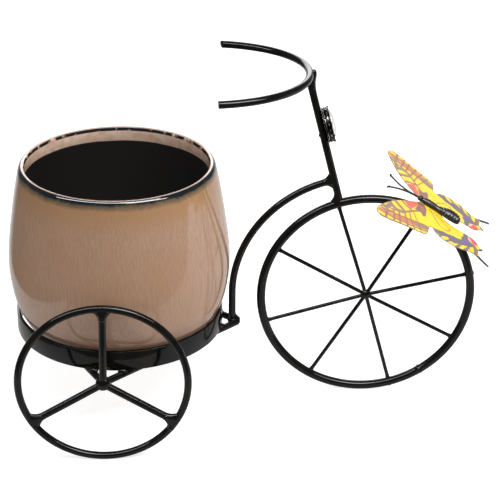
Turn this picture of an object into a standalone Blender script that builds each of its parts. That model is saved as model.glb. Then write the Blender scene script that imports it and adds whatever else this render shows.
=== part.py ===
# Bicycle planter: a glazed pot in a welded rod tricycle, with a headlamp and a butterfly.
# Metres and degrees, +Z up, standing on z = 0 and riding towards +X.
# Lengths along X are measured from the pot's axis; the last lines centre the planter.

import math

import bmesh
import bpy
import numpy
from mathutils import Matrix, Vector

# Air between faces that touch, and how far cutters reach past what they cut
seat_gap = 0.0003
cut_overrun = 0.001
merge_distance = 0.00001
sharp_angle = 38

# Rod stock
rod_radius = 0.0025
rim_rod_radius = 0.003
wire_radius = 0.00125
rod_sides = 12
wire_sides = 8
guide_sides = 24
guide_twist_share = 0.5
rod_end_chamfer = 0.0004

# Two rear wheels
rear_wheel_radius = 0.062
# From the base's corner to the inner side of the spokes
wheel_side_gap = 0.00096
rear_axle_setback = 0.0095
rear_spoke_first_angle = 90
rear_spoke_lean_angles = (-1, 0.8, -2.3)
rear_hub_radius = 0.004
rear_hub_proud = 0.0008
rear_rim_steps = 40
# Weld nugget at a rear wheel's middle, from inboard out: place along it and radius, as shares
rear_hub_shares = ((0, 0.8), (0.2, 0.95), (0.5, 1), (0.8, 0.92), (0.94, 0.68), (1, 0.36))

# Front wheel
front_wheel_radius = 0.08175
# From the backbone's front to the back of the wheel
wheel_gap = 0.01585
front_spoke_first_angle = 15
front_spoke_lean_angles = (-2.7, 0, 2.3, 0, 0.8, -1.5, 0.4, 1)
front_hub_radius = 0.0039
front_hub_half_width = 0.0027
front_hub_steps = 6
front_hub_sides = 12
front_rim_steps = 52

# Weld fillets, as shares of the rod that ends in them
flare_width_share = 1.85
wire_flare_width_share = 1.3
flare_length_share = 2
flare_curve_shares = ((0, 0), (0.45, 0.12), (0.75, 0.42), (1, 1))
cope_depth_share = 0.45
cope_width_share = 0.97

# Pot ring and the bent rod under it
# From the pot's side to the inside of the ring's top edge
pot_ring_gap = 0.0012
ring_height = 0.015
ring_thickness = 0.0015
ring_bottom = 0.0632
ring_steps = 56
# From the backbone's middle line forward to the base's front corner
base_overhang = 0.005
base_tail = 0.057
# How far the base's side corners reach past the pot's belly
base_side_overhang = 0.0069
base_bend_radius = 0.0035
bend_steps = 5

# Pot
pot_height = 0.128
pot_belly_radius = 0.0812
pot_foot_radius = 0.0625
pot_shift = 0.0007
pot_wall = 0.0054
pot_floor = 0.006
foot_ring_width = 0.008
foot_ring_height = 0.0025
foot_bevel = 0.0008
pot_steps = 46
# Height and radius along the outside, as shares of the pot's height and of what
# its belly adds to its foot
pot_side_shares = (
    (0.022, 0.17),
    (0.055, 0.36),
    (0.1156, 0.583),
    (0.165, 0.73),
    (0.225, 0.85),
    (0.334, 0.968),
    (0.444, 1),
    (0.561, 0.92),
    (0.678, 0.807),
    (0.795, 0.684),
    (0.897, 0.556),
    (0.948, 0.481),
)
# The rounded lip: how far in through the wall, and how far down, as shares of the wall
lip_shares = ((0.11, 0.685), (0.296, 0.26), (0.537, 0.037), (0.722, 0), (0.907, 0.11), (1, 0.35))
# Where the inside turns from the wall to the floor, as a share of the wall
floor_corner_share = 0.4

# Backbone tube of the bicycle
# From the ring to the back of the backbone
backbone_ring_gap = 0.0047
backbone_bend_radius = 0.0936
backbone_bend_height = 0.084
backbone_steps = 18

# Leaning stem
stem_lean = 14.5
stem_reach = 0.1355
stem_height = 0.258
# The weld round the stem's head: height, back and front as shares of the rod's radius,
# and depth as a share of its width
stem_head_shares = (
    (0.15, 1.3, 2.4, 0.6),
    (-0.35, 0.4, 2.5, 0.8),
    (-1.3, -0.6, 2.3, 0.97),
    (-2.1, -0.95, 1.7, 0.97),
    (-4.2, -1, 1, 0.97),
)

# Handlebar: most of half an ellipse, its two ends trimmed differently
handlebar_centre = 0.0632
handlebar_length = 0.0736
handlebar_half_width = 0.0623
handlebar_right_angle = 83.5
handlebar_left_angle = 79.2
handlebar_steps = 28

# Headlamp on the stem
lamp_drop = 0.0415
lamp_radius = 0.0131
lamp_plate_thickness = 0.0009
lamp_plate_chamfer = 0.0002
bezel_height = 0.0038
bezel_wall = 0.0008
bezel_lip = 0.00025
bezel_loop_count = 20
bezel_loop_radius = 0.0012
bezel_loop_sides = 6
stone_radius = 0.012
stone_girdle = 0.0016
stone_dome = 0.0042
stone_dome_steps = 6
stone_steps = 28
lamp_steps = 32

# Butterfly, clear of the front rim on its magnet
butterfly_angle = 57.7
butterfly_turn = 11
butterfly_tip = 1.8
magnet_radius = 0.004
magnet_thickness = 0.0013
magnet_chamfer = 0.0002
magnet_steps = 16
film_thickness = 0.0004
wing_half_span = 0.0677
wing_chord = 0.0938
left_wing_lift = -3.2
right_wing_lift = 2.2
# Wing edge from the front of the root to its back: shares of the half span and the chord
wing_edge_shares = (
    (0.06, 0.115),
    (0.26, 0.24),
    (0.42, 0.318),
    (0.59, 0.375),
    (0.76, 0.422),
    (0.88, 0.443),
    (0.965, 0.43),
    (1, 0.392),
    (0.975, 0.323),
    (0.925, 0.25),
    (0.87, 0.16),
    (0.825, 0.073),
    (0.79, 0.026),
    (0.73, 0.002),
    (0.62, -0.005),
    (0.575, -0.012),
    (0.568, -0.034),
    (0.615, -0.073),
    (0.64, -0.125),
    (0.637, -0.18),
    (0.633, -0.24),
    (0.6, -0.297),
    (0.545, -0.35),
    (0.505, -0.395),
    (0.502, -0.43),
    (0.545, -0.48),
    (0.615, -0.553),
    (0.588, -0.558),
    (0.508, -0.484),
    (0.447, -0.437),
    (0.38, -0.468),
    (0.318, -0.474),
    (0.235, -0.453),
    (0.168, -0.405),
    (0.152, -0.344),
    (0.172, -0.28),
    (0.15, -0.21),
    (0.09, -0.125),
)
wing_root_front_share = 0.1
wing_root_back_share = -0.1
body_head = 0.0122
body_tail = 0.0243
body_radius = 0.0032
body_axis_height = 0.0014
# Body outline from the head back: place along it and radius, as shares
body_front_shares = (
    (0, 0.2),
    (0.015, 0.5),
    (0.045, 0.64),
    (0.08, 0.52),
    (0.105, 0.46),
    (0.16, 0.66),
    (0.26, 0.74),
    (0.38, 0.66),
    (0.46, 0.54),
)
# Each ridge of the abdomen, and the groove before it as a share of the ridge
abdomen_start_share = 0.5
abdomen_ridge_shares = (0.66, 0.8, 0.91, 0.98, 1, 0.93, 0.72)
abdomen_groove_share = 0.9
abdomen_tip_share = 0.3
body_sides = 14
antenna_radius = 0.00045
antenna_tip_radius = 0.0011
antenna_reach = 0.0245
antenna_spread = 0.0122
antenna_root_spread = 0.0008
antenna_droop = 0.004
antenna_sides = 6
# Places along an antenna, and the shares of its spread and droop reached there
antenna_shares = (
    (0, 0, 0),
    (0.25, 0.16, 0.36),
    (0.5, 0.4, 0.68),
    (0.75, 0.69, 0.9),
    (0.93, 0.92, 0.99),
)
antenna_tip_shares = ((0.94, 0.93, 0.99), (0.98, 0.98, 1), (1, 1, 1))

# Where the named sizes put the main points
rear_rim_radius = rear_wheel_radius - rod_radius
front_rim_radius = front_wheel_radius - rim_rod_radius
heights, swells = zip(*pot_side_shares)
swell_in_ring = float(numpy.interp(ring_height / pot_height, heights, swells))
pot_swell = pot_belly_radius - pot_foot_radius
ring_inner_radius = pot_foot_radius + pot_swell * swell_in_ring + pot_ring_gap
ring_radius = ring_inner_radius + ring_thickness
backbone_reach = ring_radius + backbone_ring_gap + rod_radius
base_nose = backbone_reach + base_overhang
base_half_width = pot_belly_radius + base_side_overhang
front_axle_reach = backbone_reach + rod_radius + wheel_gap + front_wheel_radius
base_height = ring_bottom - seat_gap - rod_radius
corner_half_angle = (
    math.atan2(base_nose + rear_axle_setback, base_half_width)
    + math.atan2(base_tail - rear_axle_setback, base_half_width)
) / 2
corner_cut = base_bend_radius * (1 / math.sin(corner_half_angle) - 1)
base_corner_reach = base_half_width - corner_cut + rod_radius
rear_wheel_offset = base_corner_reach + wheel_side_gap + rod_radius
pot_seat = ring_bottom
front_axle = Vector((front_axle_reach, 0, front_wheel_radius))
stem_top = Vector((stem_reach, 0, stem_height))
lean = math.radians(stem_lean)
stem_down = Vector((math.sin(lean), 0, -math.cos(lean)))
backbone_centre = Vector((backbone_reach + backbone_bend_radius, 0, backbone_bend_height))

side_x = Vector((1, 0, 0))
side_y = Vector((0, 1, 0))
side_z = Vector((0, 0, 1))


def clear_scene():
    for obj in list(bpy.data.objects):
        bpy.data.objects.remove(obj, do_unlink=True)


def finish(name, colour, roughness, metallic):
    material = bpy.data.materials.new(name)
    material.use_nodes = True
    shader = material.node_tree.nodes["Principled BSDF"]
    shader.inputs["Base Color"].default_value = (*colour, 1)
    shader.inputs["Roughness"].default_value = roughness
    shader.inputs["Metallic"].default_value = metallic
    return material


def empty(name, parent=None, location=(0, 0, 0), rotation=(0, 0, 0)):
    obj = bpy.data.objects.new(name, None)
    bpy.context.collection.objects.link(obj)
    obj.parent = parent
    obj.location = location
    obj.rotation_euler = rotation
    return obj


def place(name, mesh, material, parent, location=(0, 0, 0), rotation=(0, 0, 0)):
    obj = bpy.data.objects.new(name, mesh)
    bpy.context.collection.objects.link(obj)
    obj.parent = parent
    obj.location = location
    obj.rotation_euler = rotation
    if material is not None:
        mesh.materials.clear()
        mesh.materials.append(material)
    mesh.shade_smooth()
    mesh.set_sharp_from_angle(angle=math.radians(sharp_angle))
    return obj


def guide(name, mesh, parent, location=(0, 0, 0), rotation=(0, 0, 0)):
    obj = place(name, mesh, None, parent, location, rotation)
    obj.hide_render = True
    obj.display_type = "WIRE"
    return obj


def cut(obj, cutter):
    trim = obj.modifiers.new("Trim " + cutter.name, "BOOLEAN")
    trim.operation = "DIFFERENCE"
    trim.solver = "EXACT"
    trim.object = cutter


def mesh_from(bm, name):
    bmesh.ops.recalc_face_normals(bm, faces=bm.faces)
    mesh = bpy.data.meshes.new(name)
    bm.to_mesh(mesh)
    bm.free()
    return mesh


def loft(name, stations, sides, closed=False, twist=0):
    """Skin a row of ellipses, each one a centre, two directions and two half sizes."""
    bm = bmesh.new()
    rings = []
    for centre, across, up, half_across, half_up in stations:
        ring = []
        for step in range(sides):
            turn = math.tau * (step + twist) / sides
            point = centre + across * (half_across * math.cos(turn))
            ring.append(bm.verts.new(point + up * (half_up * math.sin(turn))))
        rings.append(ring)
    pairs = list(zip(rings, rings[1:]))
    if closed:
        pairs.append((rings[-1], rings[0]))
    for first, second in pairs:
        for step in range(sides):
            after = (step + 1) % sides
            bm.faces.new((first[step], first[after], second[after], second[step]))
    if not closed:
        bm.faces.new(rings[0])
        bm.faces.new(reversed(rings[-1]))
    return mesh_from(bm, name)


def turned(name, outline, steps, closed=False):
    """Turn an outline of (radius, height) about Z. It starts and ends on the axis, or is closed."""
    bm = bmesh.new()
    points = [bm.verts.new((radius, 0, height)) for radius, height in outline]
    edges = [bm.edges.new(pair) for pair in zip(points, points[1:])]
    if closed:
        edges.append(bm.edges.new((points[-1], points[0])))
    bmesh.ops.spin(bm, geom=points + edges, cent=(0, 0, 0), axis=side_z, angle=math.tau, steps=steps)
    bmesh.ops.remove_doubles(bm, verts=bm.verts, dist=merge_distance)
    return mesh_from(bm, name)


def disc_outline(radius, bottom, top, chamfer):
    return (
        (0, bottom),
        (radius - chamfer, bottom),
        (radius, bottom + chamfer),
        (radius, top - chamfer),
        (radius - chamfer, top),
        (0, top),
    )


def loft_guide(name, stations, closed=False):
    return loft(name, stations, guide_sides, closed, guide_twist_share)


def hoop_stations(radius, tube, steps):
    """Stations of a ring of round rod in the XZ plane."""
    stations = []
    for step in range(steps):
        turn = math.tau * step / steps
        out = Vector((math.cos(turn), 0, math.sin(turn)))
        stations.append((out * radius, out, side_y, tube, tube))
    return stations


def flared(start, surface, end, radius, width_share):
    """Stations of a straight rod along X that widens in the XZ plane into the weld it ends in."""
    reach = radius * flare_length_share
    extra = radius * (width_share - 1)
    places = [(start, 0)]
    places += [(surface - reach * (1 - along), rise) for along, rise in flare_curve_shares]
    places.append((end, 1))
    depth = radius * cope_width_share
    return [(side_x * x, side_z, side_y, radius + extra * rise, depth) for x, rise in places]


def line_meets_circle(start, direction, centre, radius):
    """Distance along a line in the XZ plane to where it first meets a circle."""
    offset = start - centre
    half = offset.dot(direction)
    return -half - math.sqrt(half * half - offset.length_squared + radius * radius)


def round_path(corners, bend, steps):
    """A closed horizontal path with each corner rounded: points and their outward directions."""
    path = []
    count = len(corners)
    for index, corner in enumerate(corners):
        back = (corners[index - 1] - corner).normalized()
        ahead = (corners[(index + 1) % count] - corner).normalized()
        half = back.angle(ahead) / 2
        middle = (back + ahead).normalized()
        centre = corner + middle * (bend / math.sin(half))
        swing = math.pi / 2 - half
        turn_sign = math.copysign(1, back.cross(ahead).z)
        for step in range(steps + 1):
            turn = swing * (2 * step / steps - 1) * -turn_sign
            out = Matrix.Rotation(turn, 3, "Z") @ -middle
            path.append((centre + out * bend, out))
    return path


def build_wheel(label, root, place_at, rim_size, hub_mesh, hub_guide_mesh, blank, angles, looks):
    """A rim, a hub and coped spokes. rim_size holds its radius, its rod's radius and its steps."""
    radius, tube, steps = rim_size
    axle = empty(label + "_axle", root, place_at)
    rim = loft(label + "_rim", hoop_stations(radius, tube, steps), rod_sides, closed=True)
    place(label + "_rim", rim, looks, axle)
    wide_rim = loft_guide("rim_guide", hoop_stations(radius, tube + seat_gap, steps), closed=True)
    rim_guide = guide(label + "_rim_guide", wide_rim, axle)
    hub = place(label + "_hub", hub_mesh, looks, axle)
    hub_guide = guide(label + "_hub_guide", hub_guide_mesh, axle)
    for number, angle in enumerate(angles, 1):
        tilt = (0, -math.radians(angle), 0)
        spoke = place(f"{label}_spoke_{number}", blank, looks, axle, rotation=tilt)
        cut(spoke, rim_guide)
        cut(spoke, hub_guide)
    return hub, rim_guide


def spoke_blank(name, start, rim_radius, tube, radius, width_share, sides):
    surface = rim_radius - tube
    end = rim_radius - tube * cope_depth_share
    return loft(name, flared(start, surface, end, radius, width_share), sides)


def spoke_angles(first_angle, lean_angles):
    step = 360 / len(lean_angles)
    return [first_angle + step * number + leaning for number, leaning in enumerate(lean_angles)]


def hub_stations(start, end, radius, sign):
    """A rounded weld nugget along Y, from inboard to outboard."""
    length = end - start
    stations = []
    for along_share, radius_share in rear_hub_shares:
        centre = side_y * (sign * (start + length * along_share))
        stations.append((centre, side_x, side_z, radius * radius_share, radius * radius_share))
    return stations


def build_base(root, looks):
    """One rod bent into a kite: nose under the backbone, a corner behind each rear hub."""
    corners = [
        Vector((base_nose, 0, 0)),
        Vector((-rear_axle_setback, base_half_width, 0)),
        Vector((-base_tail, 0, 0)),
        Vector((-rear_axle_setback, -base_half_width, 0)),
    ]
    path = round_path(corners, base_bend_radius, bend_steps)
    at = (0, 0, base_height)
    stations = [(point, out, side_z, rod_radius, rod_radius) for point, out in path]
    place("base_frame", loft("base_frame", stations, rod_sides, closed=True), looks, root, at)
    wide = rod_radius + seat_gap
    stations = [(point, out, side_z, wide, wide) for point, out in path]
    return guide("base_guide", loft_guide("base_guide", stations, closed=True), root, at)


def build_rear_wheels(root, base_guide, looks):
    """The same wheel on each side; its hub is welded to a corner of the bent base rod."""
    start = base_corner_reach - cut_overrun - rear_wheel_offset
    end = rod_radius + rear_hub_proud
    blank = spoke_blank(
        "rear_spoke",
        rear_hub_radius - rod_radius,
        rear_rim_radius,
        rod_radius,
        rod_radius,
        flare_width_share,
        rod_sides,
    )
    angles = spoke_angles(rear_spoke_first_angle, rear_spoke_lean_angles)
    rim_size = (rear_rim_radius, rod_radius, rear_rim_steps)
    for label, sign in (("left_wheel", 1), ("right_wheel", -1)):
        hub_mesh = loft(label + "_hub", hub_stations(start, end, rear_hub_radius, sign), rod_sides)
        wide = rear_hub_radius + seat_gap
        reach = end + cut_overrun
        ends = (-reach, reach)
        stations = [(side_y * y, side_x, side_z, wide, wide) for y in ends]
        hub_guide = loft_guide(label + "_hub_guide", stations)
        at = (-rear_axle_setback, sign * rear_wheel_offset, rear_wheel_radius)
        wheel = build_wheel(label, root, at, rim_size, hub_mesh, hub_guide, blank, angles, looks)
        cut(wheel[0], base_guide)


def build_front_wheel(root, looks):
    def nugget(name, grow):
        outline = [(0, -front_hub_half_width - grow)]
        for step in range(1, front_hub_steps):
            turn = math.pi * (step / front_hub_steps - 0.5)
            radius = (front_hub_radius + grow) * math.cos(turn)
            outline.append((radius, (front_hub_half_width + grow) * math.sin(turn)))
        outline.append((0, front_hub_half_width + grow))
        mesh = turned(name, outline, front_hub_sides)
        mesh.transform(Matrix.Rotation(math.pi / 2, 4, "X"))
        return mesh

    blank = spoke_blank(
        "front_spoke",
        front_hub_radius - wire_radius,
        front_rim_radius,
        rim_rod_radius,
        wire_radius,
        wire_flare_width_share,
        wire_sides,
    )
    wheel = build_wheel(
        "front_wheel",
        root,
        front_axle,
        (front_rim_radius, rim_rod_radius, front_rim_steps),
        nugget("front_hub", 0),
        nugget("front_hub_guide", seat_gap),
        blank,
        spoke_angles(front_spoke_first_angle, front_spoke_lean_angles),
        looks,
    )
    return wheel[1]


def build_ring(root, looks):
    inner = ring_inner_radius
    outline = ((ring_radius, 0), (ring_radius, ring_height), (inner, ring_height), (inner, 0))
    mesh = turned("pot_ring", outline, ring_steps, closed=True)
    return place("pot_ring", mesh, looks, root, (0, 0, ring_bottom))


def pot_radius(share):
    return pot_foot_radius + pot_swell * share


def build_pot(root, looks):
    """Thrown pot: foot ring, swelling side, rounded lip and an inside that follows the outside."""
    foot_inner = pot_foot_radius - foot_ring_width
    outline = [
        (0, foot_ring_height),
        (foot_inner - foot_bevel, foot_ring_height),
        (foot_inner, 0),
        (pot_foot_radius - foot_bevel, 0),
        (pot_foot_radius, foot_bevel),
    ]
    side = [(pot_radius(radius), pot_height * height) for height, radius in pot_side_shares]
    outline += side
    top_radius = side[-1][0]
    for inward, down in lip_shares:
        outline.append((top_radius - pot_wall * inward, pot_height - pot_wall * down))
    lowest = foot_ring_height + pot_floor
    for radius, height in reversed(side):
        if height > lowest + pot_wall:
            outline.append((radius - pot_wall, height))
    outline.append((foot_inner + pot_wall, lowest + pot_wall * floor_corner_share))
    outline.append((foot_inner, lowest))
    outline.append((0, lowest))
    mesh = turned("pot", outline, pot_steps)
    return place("pot", mesh, looks, root, (pot_shift, 0, pot_seat))


def build_stem_and_bar(root, rim_guide, looks):
    """Curved handlebar and the leaning stem coped under it."""
    bar_centre = Vector((handlebar_centre, 0, stem_height))
    right_end = -math.radians(handlebar_right_angle)
    left_end = math.radians(handlebar_left_angle)
    end_turn = rod_end_chamfer / handlebar_length

    def bar_stations(grow):
        sweep = left_end - right_end
        turns = [right_end + sweep * step / handlebar_steps for step in range(handlebar_steps + 1)]
        shrink = rod_radius - rod_end_chamfer
        places = [(turns[0], shrink), (turns[0] + end_turn, rod_radius)]
        places += [(turn, rod_radius) for turn in turns[1:-1]]
        places += [(turns[-1] - end_turn, rod_radius), (turns[-1], shrink)]
        stations = []
        for turn, size in places:
            across = math.cos(turn)
            along = math.sin(turn)
            centre = Vector((handlebar_length * across, handlebar_half_width * along, 0))
            out = Vector((handlebar_half_width * across, handlebar_length * along, 0)).normalized()
            stations.append((centre, out, side_z, size + grow, size + grow))
        return stations

    place("handlebar", loft("handlebar", bar_stations(0), rod_sides), looks, root, bar_centre)
    bar_guide = guide("bar_guide", loft_guide("bar_guide", bar_stations(seat_gap)), root, bar_centre)

    to_rim = line_meets_circle(stem_top, stem_down, front_axle, front_rim_radius)
    stem_length = to_rim - rim_rod_radius * cope_depth_share
    stem_line = empty("stem_line", root, stem_top, (0, -lean, 0))
    stations = []
    for height, back, front, depth in stem_head_shares:
        centre = Vector((rod_radius * (back + front) / 2, 0, rod_radius * height))
        half = rod_radius * (front - back) / 2
        stations.append((centre, side_x, side_y, half, rod_radius * depth))
    reach = rod_radius * flare_length_share
    extra = rod_radius * (flare_width_share - 1)
    surface = to_rim - rim_rod_radius
    foot = [(surface - reach * (1 - along), rise) for along, rise in flare_curve_shares]
    for down, rise in foot + [(stem_length, 1)]:
        centre = Vector((-extra * rise / 2, 0, -down))
        half = rod_radius + extra * rise / 2
        stations.append((centre, side_x, side_y, half, rod_radius * cope_width_share))
    stem = place("stem", loft("stem", stations, rod_sides), looks, stem_line)
    cut(stem, bar_guide)
    cut(stem, rim_guide)
    wide = rod_radius + seat_gap
    stations = [(side_z * z, side_x, side_y, wide, wide) for z in (0, -stem_length)]
    stem_guide = guide("stem_guide", loft_guide("stem_guide", stations), stem_line)
    return stem_line, stem_guide


def build_backbone(root, base_guide, stem_guide, looks):
    """Rises beside the pot, then bends over the front wheel to the stem."""
    down = line_meets_circle(stem_top, stem_down, backbone_centre, backbone_bend_radius)
    across = stem_top + stem_down * down - backbone_centre
    to_stem = math.pi - math.atan2(across.z, across.x)
    surface = to_stem - rod_radius / backbone_bend_radius
    sweep = to_stem - rod_radius * cope_depth_share / backbone_bend_radius
    flare = rod_radius * flare_length_share / backbone_bend_radius
    extra = rod_radius * (flare_width_share - 1)
    depth = rod_radius * cope_width_share
    foot_surface = base_height + rod_radius
    foot_reach = rod_radius * flare_length_share
    foot = [(foot_surface + foot_reach * (1 - along), rise) for along, rise in flare_curve_shares]
    foot.append((base_height + rod_radius * cope_depth_share, 1))
    stations = []
    for height, rise in reversed(foot):
        centre = Vector((backbone_reach + extra * rise / 2, 0, height))
        stations.append((centre, -side_x, side_y, rod_radius + extra * rise / 2, depth))
    turns = [(surface - flare) * step / backbone_steps for step in range(backbone_steps)]
    bends = [(turn, 0) for turn in turns]
    bends += [(surface - flare * (1 - along), rise) for along, rise in flare_curve_shares]
    bends.append((sweep, 1))
    for turn, rise in bends:
        out = Vector((-math.cos(turn), 0, math.sin(turn)))
        centre = backbone_centre + out * backbone_bend_radius
        stations.append((centre, out, side_y, rod_radius + extra * rise, depth))
    backbone = place("backbone", loft("backbone", stations, rod_sides), looks, root)
    cut(backbone, base_guide)
    cut(backbone, stem_guide)


def build_headlamp(stem_line, looks, glass):
    """A round glass stone in a pierced gallery bezel, seated on the front of the stem."""
    def facing(mesh):
        mesh.transform(Matrix.Rotation(math.pi / 2, 4, "Y"))
        return mesh

    back = rod_radius + seat_gap
    front = back + lamp_plate_thickness
    outline = disc_outline(lamp_radius, back, front, lamp_plate_chamfer)
    plate = turned("headlamp_plate", outline, lamp_steps)
    at = (0, 0, -lamp_drop)
    place("headlamp_plate", facing(plate), looks, stem_line, at)

    low = front + seat_gap
    high = low + bezel_height
    inner = lamp_radius - bezel_wall
    outline = (
        (lamp_radius, low),
        (lamp_radius, high - bezel_lip),
        (lamp_radius - bezel_lip, high),
        (inner, high),
        (inner, low),
    )
    bezel = place(
        "headlamp_bezel", facing(turned("headlamp_bezel", outline, lamp_steps, closed=True)),
        looks, stem_line, at,
    )
    bm = bmesh.new()
    reach = lamp_radius + cut_overrun
    middle = (low + high) / 2
    for number in range(bezel_loop_count):
        turn = math.tau * (number + 0.5) / bezel_loop_count
        out = Vector((0, math.cos(turn), math.sin(turn)))
        side = side_x.cross(out)
        rings = []
        for distance in (inner - bezel_wall, reach):
            centre = side_x * middle + out * distance
            ring = []
            for step in range(bezel_loop_sides):
                swing = math.tau * step / bezel_loop_sides
                swerve = side * math.cos(swing) + side_x * math.sin(swing)
                ring.append(bm.verts.new(centre + swerve * bezel_loop_radius))
            rings.append(ring)
        for step in range(bezel_loop_sides):
            after = (step + 1) % bezel_loop_sides
            bm.faces.new((rings[0][step], rings[0][after], rings[1][after], rings[1][step]))
        bm.faces.new(rings[0])
        bm.faces.new(reversed(rings[1]))
    cut(bezel, guide("bezel_loops", mesh_from(bm, "bezel_loops"), stem_line, at))

    outline = [(0, low), (stone_radius, low), (stone_radius, low + stone_girdle)]
    for step in range(1, stone_dome_steps):
        turn = math.pi / 2 * step / stone_dome_steps
        height = low + stone_girdle + stone_dome * math.sin(turn)
        outline.append((stone_radius * math.cos(turn), height))
    outline.append((0, low + stone_girdle + stone_dome))
    stone = turned("headlamp_stone", outline, stone_steps)
    place("headlamp_stone", facing(stone), glass, stem_line, at)


def build_wings(root, height, looks):
    """One printed film: both wings in one sheet, bent a little at the body."""
    bm = bmesh.new()
    front = bm.verts.new((wing_chord * wing_root_front_share, 0, height))
    back = bm.verts.new((wing_chord * wing_root_back_share, 0, height))
    for sign, lift in ((1, left_wing_lift), (-1, right_wing_lift)):
        slope = math.tan(math.radians(lift))
        edge = []
        for out_share, along_share in wing_edge_shares:
            out = wing_half_span * out_share
            edge.append(bm.verts.new((wing_chord * along_share, sign * out, height + out * slope)))
        bm.faces.new([front] + edge + [back])
    solid = bmesh.ops.extrude_face_region(bm, geom=bm.faces[:])
    moved = [item for item in solid["geom"] if isinstance(item, bmesh.types.BMVert)]
    bmesh.ops.translate(bm, verts=moved, vec=side_z * film_thickness)
    bmesh.ops.triangulate(bm, faces=bm.faces, ngon_method="EAR_CLIP")
    return place("butterfly_wings", mesh_from(bm, "butterfly_wings"), looks, root)


def build_butterfly(root, looks, film, steel):
    turn = math.radians(butterfly_angle)
    out = Vector((math.cos(turn), 0, math.sin(turn)))
    perch = empty("butterfly_perch", root, front_axle + out * front_wheel_radius)
    forward = Vector((-math.sin(turn), 0, math.cos(turn)))
    basis = Matrix((forward, out.cross(forward), out)).transposed()
    turned_basis = basis @ Matrix.Rotation(-math.radians(butterfly_turn), 3, "Z")
    tipped_basis = turned_basis @ Matrix.Rotation(math.radians(butterfly_tip), 3, "Y")
    perch.rotation_euler = tipped_basis.to_euler()

    magnet_top = seat_gap + magnet_thickness
    disc = disc_outline(magnet_radius, seat_gap, magnet_top, magnet_chamfer)
    place("butterfly_magnet", turned("butterfly_magnet", disc, magnet_steps), steel, perch)
    film_bottom = magnet_top + seat_gap
    build_wings(perch, film_bottom, film)

    flat = film_bottom + film_thickness + seat_gap
    axis = flat + body_axis_height
    length = body_head + body_tail
    outline = list(body_front_shares)
    rib = (1 - abdomen_start_share) / len(abdomen_ridge_shares)
    for number, ridge in enumerate(abdomen_ridge_shares):
        start = abdomen_start_share + rib * number
        outline += [(start, ridge * abdomen_groove_share), (start + rib / 2, ridge)]
    outline.append((1, abdomen_tip_share))
    stations = []
    for along, size in outline:
        centre = Vector((body_head - length * along, 0, axis))
        stations.append((centre, side_y, side_z, body_radius * size, body_radius * size))
    body = loft("butterfly_body", stations, body_sides)
    for vertex in body.vertices:
        vertex.co.z = max(vertex.co.z, flat)
    place("butterfly_body", body, looks, perch)

    head_end = body_head + seat_gap
    places = [(shares, antenna_radius) for shares in antenna_shares]
    places += [(shares, antenna_tip_radius) for shares in antenna_tip_shares]
    for label, sign in (("left", 1), ("right", -1)):
        stations = []
        for (along, out, down), size in places:
            spread = antenna_root_spread + (antenna_spread - antenna_root_spread) * out
            height = axis - antenna_droop * down
            centre = Vector((head_end + antenna_reach * along, sign * spread, height))
            stations.append((centre, side_y, side_z, size, size))
        mesh = loft(f"butterfly_antenna_{label}", stations, antenna_sides)
        place(f"butterfly_antenna_{label}", mesh, looks, perch)


def centre_on_origin(root):
    bpy.context.view_layer.update()
    reach = []
    for obj in bpy.data.objects:
        if obj.type == "MESH" and not obj.hide_render:
            reach += [(obj.matrix_world @ vertex.co).x for vertex in obj.data.vertices]
    root.location.x = -(min(reach) + max(reach)) / 2


def main():
    clear_scene()
    black = finish("black_steel", (0.012, 0.012, 0.013), 0.22, 0.6)
    glaze = finish("taupe_glaze", (0.42, 0.27, 0.19), 0.12, 0)
    lamp_metal = finish("lamp_metal", (0.05, 0.05, 0.045), 0.3, 1)
    lamp_glass = finish("lamp_glass", (0.9, 0.92, 0.92), 0.03, 0)
    film = finish("printed_film", (0.9, 0.68, 0.06), 0.35, 0)
    plastic = finish("black_plastic", (0.01, 0.01, 0.01), 0.3, 0)
    magnet = finish("magnet", (0.08, 0.08, 0.08), 0.4, 1)

    root = empty("planter")
    base_guide = build_base(root, black)
    build_ring(root, black)
    build_rear_wheels(root, base_guide, black)
    rim_guide = build_front_wheel(root, black)
    stem_line, stem_guide = build_stem_and_bar(root, rim_guide, black)
    build_backbone(root, base_guide, stem_guide, black)
    build_headlamp(stem_line, lamp_metal, lamp_glass)
    build_pot(root, glaze)
    build_butterfly(root, plastic, film, magnet)
    centre_on_origin(root)


main()
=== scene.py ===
import math

import bpy
from mathutils import Matrix, Vector


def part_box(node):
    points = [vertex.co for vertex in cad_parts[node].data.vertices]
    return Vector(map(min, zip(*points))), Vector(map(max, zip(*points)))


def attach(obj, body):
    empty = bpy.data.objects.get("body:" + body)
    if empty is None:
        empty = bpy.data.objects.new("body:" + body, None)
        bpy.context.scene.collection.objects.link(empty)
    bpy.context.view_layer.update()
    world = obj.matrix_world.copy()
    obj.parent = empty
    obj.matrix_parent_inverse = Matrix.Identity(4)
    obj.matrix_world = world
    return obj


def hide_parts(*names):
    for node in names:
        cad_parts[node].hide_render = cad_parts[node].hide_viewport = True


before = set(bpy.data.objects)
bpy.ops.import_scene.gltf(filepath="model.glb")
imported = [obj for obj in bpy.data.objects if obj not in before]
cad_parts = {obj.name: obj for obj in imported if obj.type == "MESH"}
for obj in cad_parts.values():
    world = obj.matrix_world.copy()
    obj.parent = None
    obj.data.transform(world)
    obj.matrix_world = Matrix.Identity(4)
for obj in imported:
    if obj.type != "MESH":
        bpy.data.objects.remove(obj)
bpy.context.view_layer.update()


def middleOf(node):
    low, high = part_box(node)
    return (low + high) / 2


def halfHeight(node):
    return (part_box(node)[1] - middleOf(node)).z


def turned(angle, axis):
    return Matrix.Rotation(math.radians(angle), 4, axis)


def ray(angle):
    # Out from an axle, counted up from straight ahead
    return Vector((math.cos(math.radians(angle)), 0, math.sin(math.radians(angle))))


def steps(*span):
    return [math.radians(angle) for angle in range(*span)]


# Lengths along the bicycle are counted from the ring's axis, as on the drawing
ringAxis = middleOf("pot_ring").x

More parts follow.
